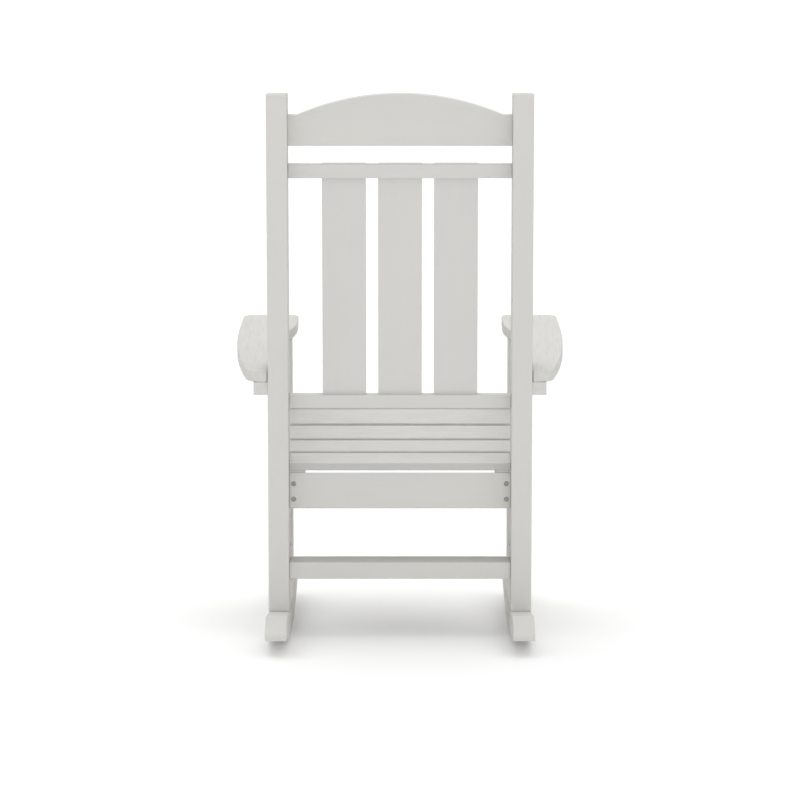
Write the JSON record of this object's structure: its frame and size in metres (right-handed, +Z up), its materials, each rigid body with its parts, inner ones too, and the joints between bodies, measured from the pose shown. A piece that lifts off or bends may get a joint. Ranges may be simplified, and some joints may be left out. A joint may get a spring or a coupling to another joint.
{
  "type": "rocking chair",
  "caption": "High-backed outdoor rocking chair built of flat boards, with an arched crest rail, vertical back slats, a slatted scooped seat, wide curved arms and bowed rockers.",
  "frame": {"origin": "bottom centre of the whole chair: on the floor, midway between the two sides and midway between the foremost and rearmost points", "axes": "+Z up from the floor, -Y towards the chair's front, +Y towards its back, +X towards the sitter's left"},
  "size_m": [0.6354, 0.8282, 1.0317],
  "materials": {
    "lumber": "matt warm grey-white recycled plastic lumber, embossed with a fine wood grain",
    "screw_steel": "stainless steel, bare"
  },
  "bodies": {
    "root": {"arm_block_left": "lumber", "arm_block_right": "lumber", "arm_block_screws": "screw_steel", "arm_left": "lumber", "arm_right": "lumber", "arm_screws": "screw_steel", "back_post_left": "lumber", "back_post_right": "lumber", "back_slat_centre": "lumber", "back_slat_left": "lumber", "back_slat_right": "lumber", "back_slat_screws": "screw_steel", "cleat_screws": "screw_steel", "crest_rail": "lumber", "front_apron": "lumber", "front_apron_screws": "screw_steel", "front_leg_left": "lumber", "front_leg_right": "lumber", "leg_toe_screws": "screw_steel", "lower_back_rail": "lumber", "post_screws": "screw_steel", "rear_apron": "lumber", "rear_apron_screws": "screw_steel", "rear_stretcher": "lumber", "rocker_left": "lumber", "rocker_right": "lumber", "rocker_screws": "screw_steel", "seat_cleat_left": "lumber", "seat_cleat_right": "lumber", "seat_nosing": "lumber", "seat_rail_left": "lumber", "seat_rail_right": "lumber", "seat_rail_screws": "screw_steel", "seat_slat_first": "lumber", "seat_slat_rear": "lumber", "seat_slat_screws": "screw_steel", "seat_slat_second": "lumber", "seat_slat_third": "lumber", "upper_back_rail": "lumber"}
  },
  "joints": []
}
